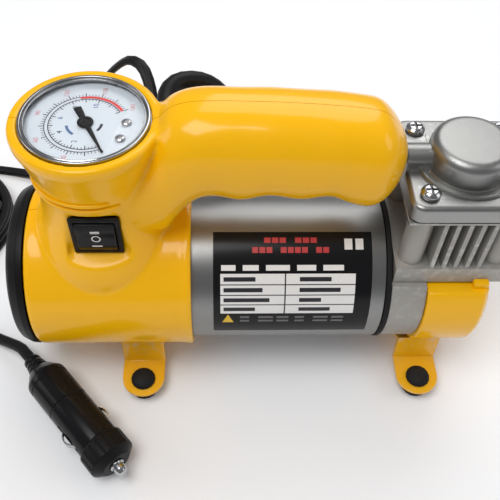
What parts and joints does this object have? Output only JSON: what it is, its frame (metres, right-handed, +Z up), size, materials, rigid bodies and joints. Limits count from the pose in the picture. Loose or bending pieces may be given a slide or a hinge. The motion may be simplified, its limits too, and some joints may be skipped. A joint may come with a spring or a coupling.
{
  "type": "portable tire inflator",
  "caption": "Portable 12 V tyre inflator: steel motor tube, moulded housing with handle, round gauge and rocker switch, finned one-cylinder pump, air hose and car plug.",
  "frame": {"origin": "centre of the ground footprint, under the machine without its cord and hose", "axes": "+X along the motor axis towards the pump, +Y away from the switch side, +Z up"},
  "size_m": [0.3444, 0.2643, 0.1515],
  "materials": {
    "yellow_shell": "gloss",
    "yellow_paint": "semi_gloss",
    "black_plastic": "satin",
    "rubber": "matte",
    "steel": "satin",
    "cast_alloy": "cast",
    "chrome": "polished",
    "brass": "satin",
    "dial_white": "matte",
    "lens": "clear",
    "label_film": "gloss",
    "ferrite": "matte",
    "carbon": "matte"
  },
  "bodies": {
    "base": {"housing_front_shell": "yellow_shell", "housing_back_shell": "yellow_shell", "pump_cover": "yellow_shell", "foot_bracket_left": "yellow_paint", "foot_bracket_right": "yellow_paint", "rear_end_cap": "black_plastic", "switch_frame": "black_plastic", "plug_body": "black_plastic", "plug_collar": "black_plastic", "air_pipe": "black_plastic", "motor_gasket": "rubber", "rubber_foot_1": "rubber", "rubber_foot_2": "rubber", "rubber_foot_3": "rubber", "rubber_foot_4": "rubber", "cord_grommet": "rubber", "power_cord": "rubber", "power_cord_lead": "rubber", "power_cord_coil": "rubber", "air_hose": "rubber", "air_hose_coil": "rubber", "motor_tube": "steel", "front_bearing": "steel", "valve_plate": "steel", "gauge_case": "steel", "housing_screw_1": "steel", "housing_screw_2": "steel", "dial_screw_1": "steel", "dial_screw_2": "steel", "crankcase": "cast_alloy", "cylinder_block": "cast_alloy", "cylinder_head": "cast_alloy", "gauge_bezel": "chrome", "head_screw_1": "chrome", "head_screw_2": "chrome", "head_screw_3": "chrome", "head_screw_4": "chrome", "rear_bearing": "brass", "bourdon_tube": "brass", "hose_fitting": "brass", "chuck_body": "brass", "gauge_dial": "dial_white", "gauge_lens": "lens", "rating_label": "label_film", "magnet_front": "ferrite", "magnet_back": "ferrite", "brush_front": "carbon", "brush_back": "carbon"},
    "rotor": {"armature": "steel", "commutator": "brass", "motor_shaft": "steel", "crank_web": "steel"},
    "rod": {"connecting_rod": "steel"},
    "piston_body": {"piston": "cast_alloy"},
    "rocker": {"switch_rocker": "black_plastic"},
    "needle": {"gauge_needle": "black_plastic"},
    "tip": {"plug_tip": "chrome"},
    "contact_left": {"plug_contact_left": "chrome"},
    "contact_right": {"plug_contact_right": "chrome"},
    "lever": {"chuck_lever": "steel"}
  },
  "joints": [
    {"name": "rocker_tilt", "type": "hinge", "parent": "base", "child": "rocker", "pos_m": [-0.06915, -0.0206, 0.0994], "axis": [1, 0, 0], "range_deg": [-11, 11]},
    {"name": "needle_turn", "type": "hinge", "parent": "base", "child": "needle", "pos_m": [-0.07015, 0, 0.1402], "axis": [0, 0, -1], "range_deg": [0, 270]},
    {"name": "crank_spin", "type": "hinge", "parent": "base", "child": "rotor", "pos_m": [-0.00015, 0, 0.05], "axis": [1, 0, 0], "continuous": true},
    {"name": "rod_pivot", "type": "hinge", "parent": "rotor", "child": "rod", "pos_m": [0.08645, 0, 0.044], "axis": [1, 0, 0], "continuous": true},
    {"name": "piston_travel", "type": "slide", "parent": "base", "child": "piston_body", "axis": [0, 0, 1], "range_m": [0, 0.012]},
    {"name": "plug_tip_press", "type": "slide", "parent": "base", "child": "tip", "axis": [-0.6561, 0.7547, 0], "range_m": [0, 0.0025], "stiffness_N_per_m": 1200},
    {"name": "contact_left_press", "type": "slide", "parent": "base", "child": "contact_left", "axis": [-0.7547, -0.6561, 0], "range_m": [0, 0.0015], "stiffness_N_per_m": 900},
    {"name": "contact_right_press", "type": "slide", "parent": "base", "child": "contact_right", "axis": [0.7547, 0.6561, 0], "range_m": [0, 0.0015], "stiffness_N_per_m": 900},
    {"name": "chuck_lever_lift", "type": "hinge", "parent": "base", "child": "lever", "pos_m": [-0.073, 0.118, 0.022], "axis": [0, 1, 0], "range_deg": [0, 80]}
  ],
  "couplings": [
    {"joint": "rod_pivot", "follows": "crank_spin", "ratio": -1}
  ]
}
